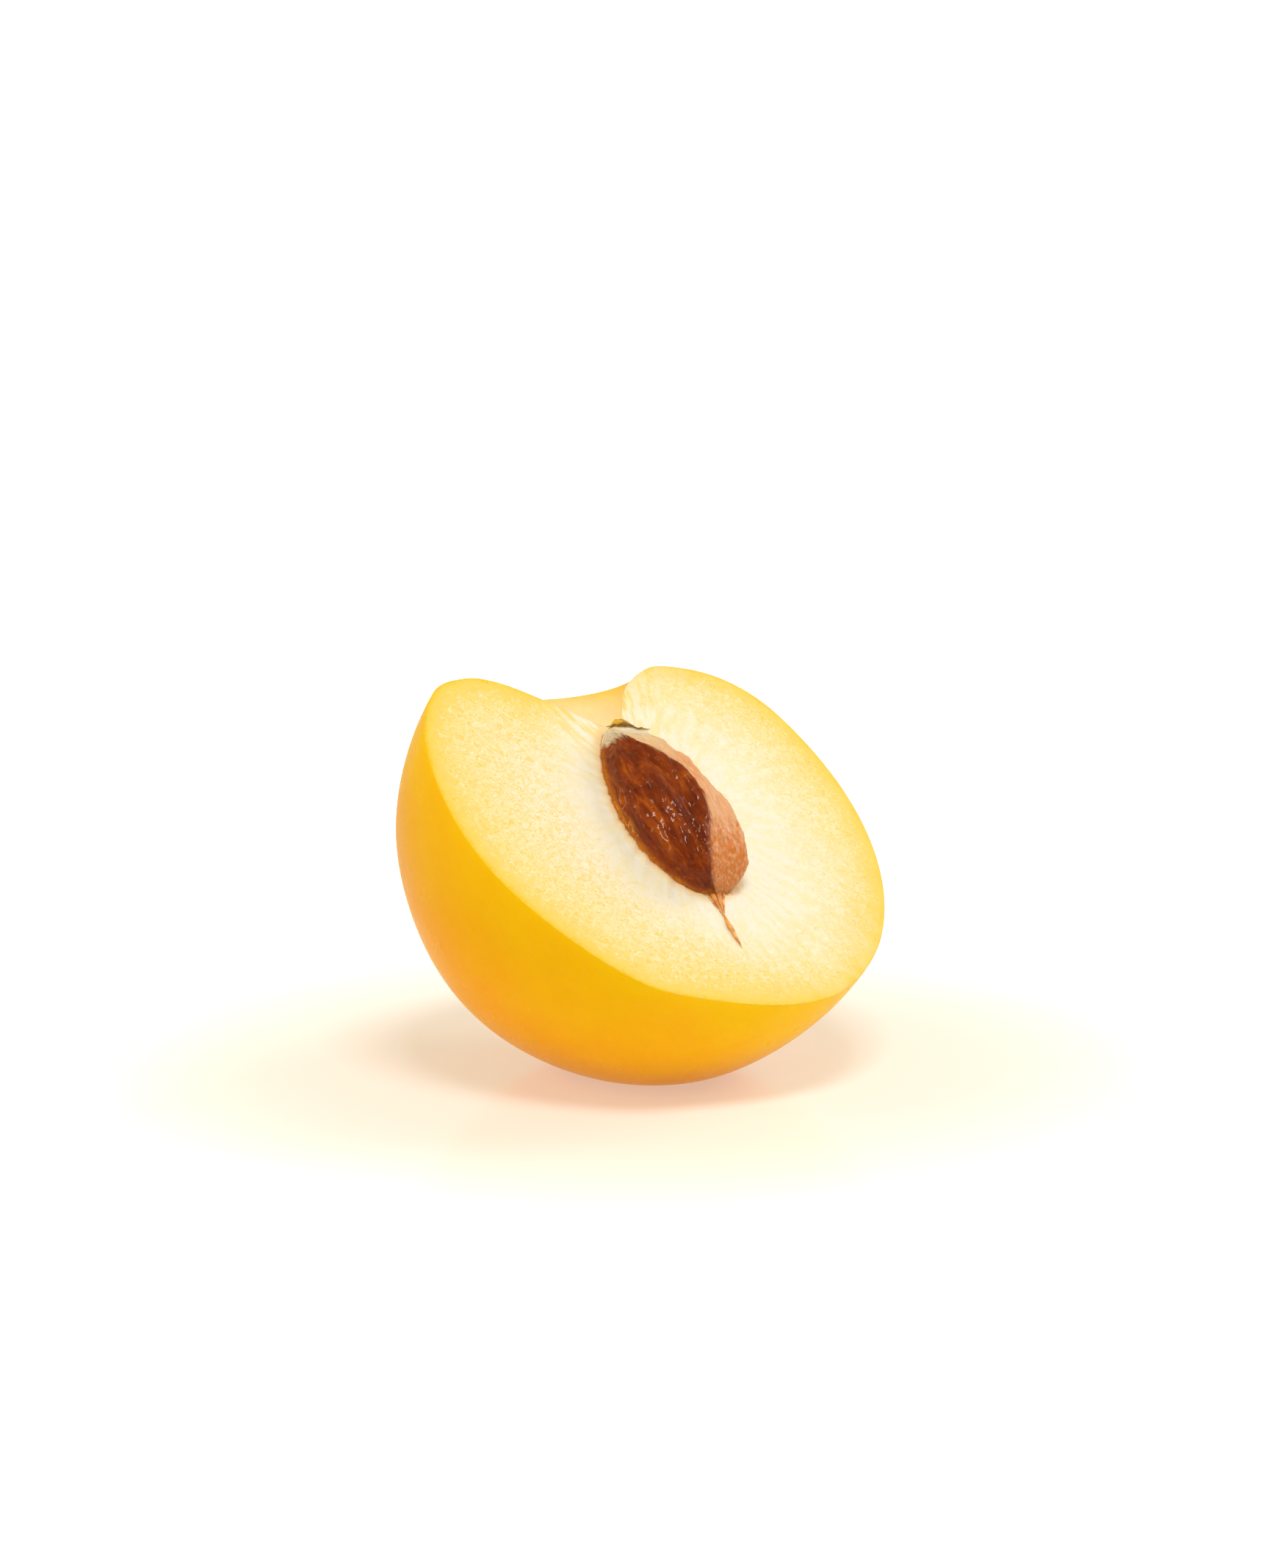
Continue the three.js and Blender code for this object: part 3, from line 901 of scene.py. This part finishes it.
strand_parts = []
for path, radii in zip(strand_roots, strand_radii):
    bpy.ops.object.select_all(action="DESELECT")
    bpy.ops.mesh.primitive_uv_sphere_add(segments=16, ring_count=40, radius=1)
    strand_parts.append(bpy.context.object)
    draw_out(bpy.context.object, path, radii)
for part in strand_parts:
    part.select_set(True)
bpy.ops.object.join()
strand = bpy.context.object
strand.name = "strand"
strand_crook = 0.07 * MM
strand_crooks_per_mm = 1.4
# noise_vector follows the clock unless it has a seed. This one also serves the stalk scar below.
noise.seed_set(7)
for vertex in strand.data.vertices:
    vertex.co += strand_crook * noise.noise_vector(vertex.co / MM * strand_crooks_per_mm)
strand.data.transform(fruit_place)
bpy.ops.object.shade_smooth()

strand_brown = (0.62, 0.20, 0.02, 1)
strand_orange = (0.92, 0.52, 0.17, 1)
strand_look = bpy.data.materials.new("strand")
strand_look.use_nodes = True
nodes = strand_look.node_tree.nodes
links = strand_look.node_tree.links
strand_shader = nodes["Principled BSDF"]
coordinates = nodes.new("ShaderNodeTexCoord")
threads = nodes.new("ShaderNodeTexNoise")
threads.inputs["Scale"].default_value = 900
threads.inputs["Detail"].default_value = 5
links.new(coordinates.outputs["Object"], threads.inputs["Vector"])
strand_colour = nodes.new("ShaderNodeValToRGB")
strand_colour.color_ramp.elements[0].position = 0.4
strand_colour.color_ramp.elements[0].color = strand_brown
strand_colour.color_ramp.elements[1].position = 0.66
strand_colour.color_ramp.elements[1].color = strand_orange
links.new(threads.outputs["Fac"], strand_colour.inputs["Fac"])
links.new(strand_colour.outputs["Color"], strand_shader.inputs["Base Color"])
thread_bump = nodes.new("ShaderNodeBump")
thread_bump.inputs["Strength"].default_value = 0.5
thread_bump.inputs["Distance"].default_value = 0.15 * MM
links.new(threads.outputs["Fac"], thread_bump.inputs["Height"])
links.new(thread_bump.outputs["Normal"], strand_shader.inputs["Normal"])
strand_shader.inputs["Roughness"].default_value = 0.4
strand_shader.inputs["Subsurface Weight"].default_value = 0.25
strand_shader.inputs["Subsurface Radius"].default_value = (1.0, 0.5, 0.2)
strand_shader.inputs["Subsurface Scale"].default_value = 0.8 * MM
strand.data.materials.append(strand_look)
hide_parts("stone")
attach(strand, "root")

# The stalk scar
# Where the stalk came away, the knife has gone through its dry scar: a golden olive lump on the edge of
# the cavity, and a dark brown crust that runs along the cut above the stone.
scar_lump_path = [
    (0.2, 10.15, 0.0), (1.2, 10.35, 0.1), (2.3, 10.6, 0.15), (3.3, 10.45, 0.05), (4.2, 9.95, 0),
]
scar_lump_radii = [0.1, 0.3, 0.42, 0.22, 0.06]
scar_crust_path = [
    (-0.4, 9.7, 0.0), (1.6, 10.15, 0.25), (2.8, 10.05, 0.3), (3.8, 9.7, 0.25), (4.8, 9.4, 0.2),
    (6.1, 9.2, 0),
]
scar_crust_radii = [0.05, 0.1, 0.15, 0.08, 0.1, 0.04]
scar_crook = 0.16 * MM
scar_crooks_per_mm = 1.9
scar_olive = (0.72, 0.42, 0.02, 1)
scar_brown = (0.26, 0.12, 0.015, 1)
for name, path, radii, colour, rough in (
    ("scar_lump", scar_lump_path, scar_lump_radii, scar_olive, 0.45),
    ("scar_crust", scar_crust_path, scar_crust_radii, scar_brown, 0.7),
):
    bpy.ops.object.select_all(action="DESELECT")
    bpy.ops.mesh.primitive_uv_sphere_add(segments=20, ring_count=44, radius=1)
    scar = bpy.context.object
    scar.name = name
    draw_out(scar, path, radii)
    for vertex in scar.data.vertices:
        vertex.co += scar_crook * noise.noise_vector(vertex.co / MM * scar_crooks_per_mm)
    scar.data.transform(fruit_place)
    bpy.ops.object.shade_smooth()
    scar_look = bpy.data.materials.new(name)
    scar_look.use_nodes = True
    nodes = scar_look.node_tree.nodes
    links = scar_look.node_tree.links
    scar_shader = nodes["Principled BSDF"]
    coordinates = nodes.new("ShaderNodeTexCoord")
    flecks = nodes.new("ShaderNodeTexNoise")
    flecks.inputs["Scale"].default_value = 1500
    flecks.inputs["Detail"].default_value = 4
    links.new(coordinates.outputs["Object"], flecks.inputs["Vector"])
    fleck_colour = nodes.new("ShaderNodeValToRGB")
    fleck_colour.color_ramp.elements[0].position = 0.35
    fleck_colour.color_ramp.elements[0].color = (colour[0] * 0.45, colour[1] * 0.4, colour[2] * 0.4, 1)
    fleck_colour.color_ramp.elements[1].position = 0.6
    fleck_colour.color_ramp.elements[1].color = colour
    links.new(flecks.outputs["Fac"], fleck_colour.inputs["Fac"])
    links.new(fleck_colour.outputs["Color"], scar_shader.inputs["Base Color"])
    fleck_bump = nodes.new("ShaderNodeBump")
    fleck_bump.inputs["Strength"].default_value = 0.6
    fleck_bump.inputs["Distance"].default_value = 0.1 * MM
    links.new(flecks.outputs["Fac"], fleck_bump.inputs["Height"])
    links.new(fleck_bump.outputs["Normal"], scar_shader.inputs["Normal"])
    scar_shader.inputs["Roughness"].default_value = rough
    scar.data.materials.append(scar_look)
    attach(scar, "root")

# Fibres round the stone
# The knife has torn the fibres that tie the flesh to the stone. Short brown ones stand up all along the
# stone's edge, and longer cream ones are combed down over its top, with a curled tuft among them.
random.seed(7)
brown_fibre = (0.74, 0.32, 0.04, 1)
cream_fibre = (1.0, 0.95, 0.82, 1)
fibre_radius = 0.035
brown_fibre_count = 150
cream_fibre_count = 100


def edge_of_stone(share):
    """A place on the line where the stone meets the cut, and the direction away from the stone, in mm."""
    down = 2 * share
    side = 1 if down <= 1 else -1
    along = (1 - math.cos(math.pi * down)) / 2
    height = stone_top + (stone_tip - stone_top) * along
    place = Vector((side * socket_width * stone_thickness(along), height, 0))
    away = Vector((place.x, (height - stone_centre) * 0.45, 0)).normalized()
    return place, away


brown_paths = []
for index in range(brown_fibre_count):
    place, away = edge_of_stone(random.uniform(0.30, 0.96))
    slant = Vector((-away.y, away.x, 0)) * random.uniform(-0.5, 0.5)
    reach = random.uniform(0.06, 0.3)
    foot = place - away * 0.35 + Vector((0, 0, random.uniform(0.1, 0.9)))
    middle = place + (away + slant) * reach * 0.4 + Vector((0, 0, random.uniform(0.1, 0.4)))
    end = place + (away + slant) * reach + Vector((0, 0, random.uniform(0.1, 0.3)))
    brown_paths.append([foot, middle, end])

cream_paths = []
for index in range(cream_fibre_count):
    share = random.uniform(0.10, 0.52)
    along = random.uniform(0.0, 0.05)
    length = random.uniform(0.03, 0.13)
    path = []
    for step in range(4):
        at = stone_point(along + length * step / 3, share + random.uniform(-0.05, 0.05))
        lift = Vector((at.x * 0.3, 0, at.z)).normalized() * random.uniform(0.02, 0.22)
        path.append(at + lift)
    cream_paths.append(path)
for index in range(cream_fibre_count // 2):
    foot = Vector((random.gauss(0.3, 0.4), random.gauss(8.7, 0.2), random.uniform(0.1, 0.6)))
    curl = Vector((random.uniform(-0.4, 0.4), random.uniform(-0.4, 0.1), random.uniform(0.1, 0.35)))
    drop = Vector((random.uniform(-0.3, 0.3), random.uniform(-0.4, 0.2), random.uniform(-0.3, 0.1)))
    cream_paths.append([foot, foot + curl * 0.6, foot + curl, foot + curl + drop])

for name, paths, colour, slot_name in (
    ("brown_fibres", brown_paths, brown_fibre, "stone"),
    ("cream_fibres", cream_paths, cream_fibre, "flesh_and_skin"),
):
    bpy.ops.object.select_all(action="DESELECT")
    bpy.ops.mesh.primitive_uv_sphere_add(segments=4, ring_count=9, radius=1)
    model_fibre = bpy.context.object
    bundle = []
    for path in paths:
        fibre = model_fibre.copy()
        fibre.data = model_fibre.data.copy()
        bpy.context.collection.objects.link(fibre)
        thickness = fibre_radius * random.uniform(0.6, 1.3)
        draw_out(fibre, path, [thickness] * (len(path) - 1) + [thickness * 0.3])
        bundle.append(fibre)
    bpy.data.objects.remove(model_fibre)
    for fibre in bundle:
        fibre.select_set(True)
    bpy.context.view_layer.objects.active = bundle[0]
    bpy.ops.object.join()
    fibres_piece = bpy.context.object
    fibres_piece.name = name
    fibres_piece.data.transform(fruit_place)
    bpy.ops.object.shade_smooth()
    fibre_look = bpy.data.materials.new(name)
    fibre_look.use_nodes = True
    nodes = fibre_look.node_tree.nodes
    links = fibre_look.node_tree.links
    fibre_shader = nodes["Principled BSDF"]
    coordinates = nodes.new("ShaderNodeTexCoord")
    tint = nodes.new("ShaderNodeTexNoise")
    tint.inputs["Scale"].default_value = 500
    links.new(coordinates.outputs["Object"], tint.inputs["Vector"])
    tint_range = nodes.new("ShaderNodeMapRange")
    tint_range.inputs["From Min"].default_value = 0.35
    tint_range.inputs["From Max"].default_value = 0.65
    links.new(tint.outputs["Fac"], tint_range.inputs["Value"])
    tinted = nodes.new("ShaderNodeMix")
    tinted.data_type = "RGBA"
    tinted.inputs["A"].default_value = (colour[0] * 0.9, colour[1] * 0.82, colour[2] * 0.7, 1)
    tinted.inputs["B"].default_value = colour
    links.new(tint_range.outputs["Result"], tinted.inputs["Factor"])
    links.new(tinted.outputs["Result"], fibre_shader.inputs["Base Color"])
    fibre_shader.inputs["Roughness"].default_value = 0.35
    fibres_piece.data.materials.append(fibre_look)
    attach(fibres_piece, "root")
